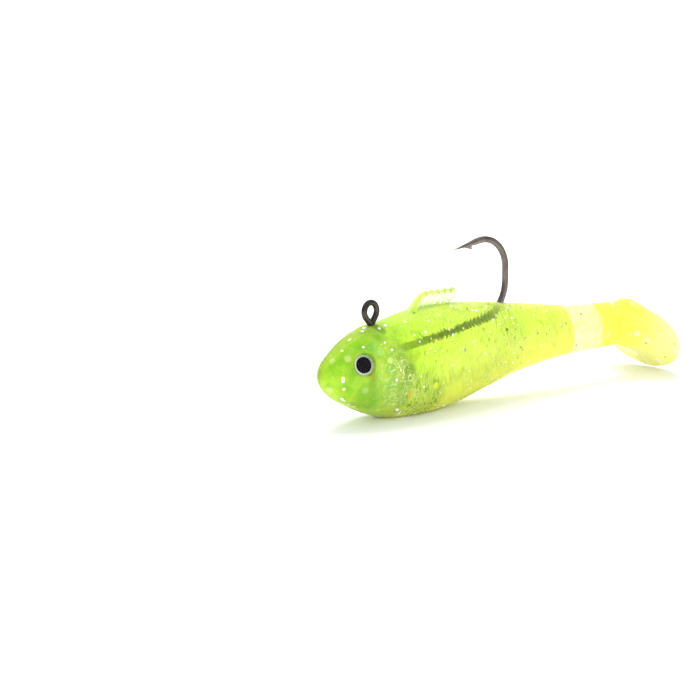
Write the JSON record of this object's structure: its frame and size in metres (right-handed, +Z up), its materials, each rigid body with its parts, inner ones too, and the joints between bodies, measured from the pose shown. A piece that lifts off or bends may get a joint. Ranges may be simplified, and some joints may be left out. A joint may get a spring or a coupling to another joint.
{
  "type": "swimbait",
  "caption": "Soft translucent paddle-tail fish lure moulded over a lead-weighted jig hook, with domed eyes, foil flanks and a ribbed dorsal fin.",
  "frame": {"origin": "under the middle of the lure, on the surface its belly rests on", "axes": "+X from snout to tail, +Y to the fish's right flank, +Z up towards the hook point"},
  "size_m": [0.11, 0.0252, 0.0386],
  "materials": {
    "head_skin": "glossy translucent soft plastic with silver flake",
    "flank_skin": "glossy translucent soft plastic with silver flake",
    "tail_skin": "glossy translucent soft plastic",
    "fin_skin": "thin clear soft plastic",
    "lead": "cast, painted",
    "foil": "crinkled holographic film",
    "iris": "bright silver film",
    "pupil": "printed black",
    "dome": "clear cast resin",
    "hook_steel": "black nickel plate"
  },
  "bodies": {
    "front": {"body_front": "head_skin", "head_weight": "lead", "hook": "hook_steel", "foil_left": "foil", "foil_right": "foil", "eye_iris_left": "iris", "eye_iris_right": "iris", "eye_pupil_left": "pupil", "eye_pupil_right": "pupil", "eye_dome_left": "dome", "eye_dome_right": "dome", "fin_web": "fin_skin", "waist_flex": "flank_skin"},
    "rear": {"body_rear": "flank_skin", "wrist_flex": "flank_skin"},
    "stem": {"tail_stem": "tail_skin", "ankle_flex": "tail_skin"},
    "paddle": {"tail_paddle": "tail_skin"},
    "fin": {"dorsal_fin": "fin_skin"}
  },
  "joints": [
    {"name": "waist_bend", "type": "hinge", "parent": "front", "child": "rear", "pos_m": [0.005, 0, 0.0135], "axis": [0, 0, 1], "range_deg": [-25, 25], "stiffness_Nm_per_rad": 0.02, "deforming": ["waist_flex"]},
    {"name": "wrist_bend", "type": "hinge", "parent": "rear", "child": "stem", "pos_m": [0.024, 0, 0.0133], "axis": [0, 0, 1], "range_deg": [-30, 30], "stiffness_Nm_per_rad": 0.012, "deforming": ["wrist_flex"]},
    {"name": "paddle_kick", "type": "hinge", "parent": "stem", "child": "paddle", "pos_m": [0.038, 0, 0.013], "axis": [0, 0, 1], "range_deg": [-40, 40], "stiffness_Nm_per_rad": 0.008, "deforming": ["ankle_flex"]},
    {"name": "fin_fold", "type": "hinge", "parent": "front", "child": "fin", "pos_m": [-0.0227, 0, 0.02475], "axis": [1, 0, 0], "range_deg": [-30, 30], "stiffness_Nm_per_rad": 0.0005, "deforming": ["fin_web"]}
  ]
}
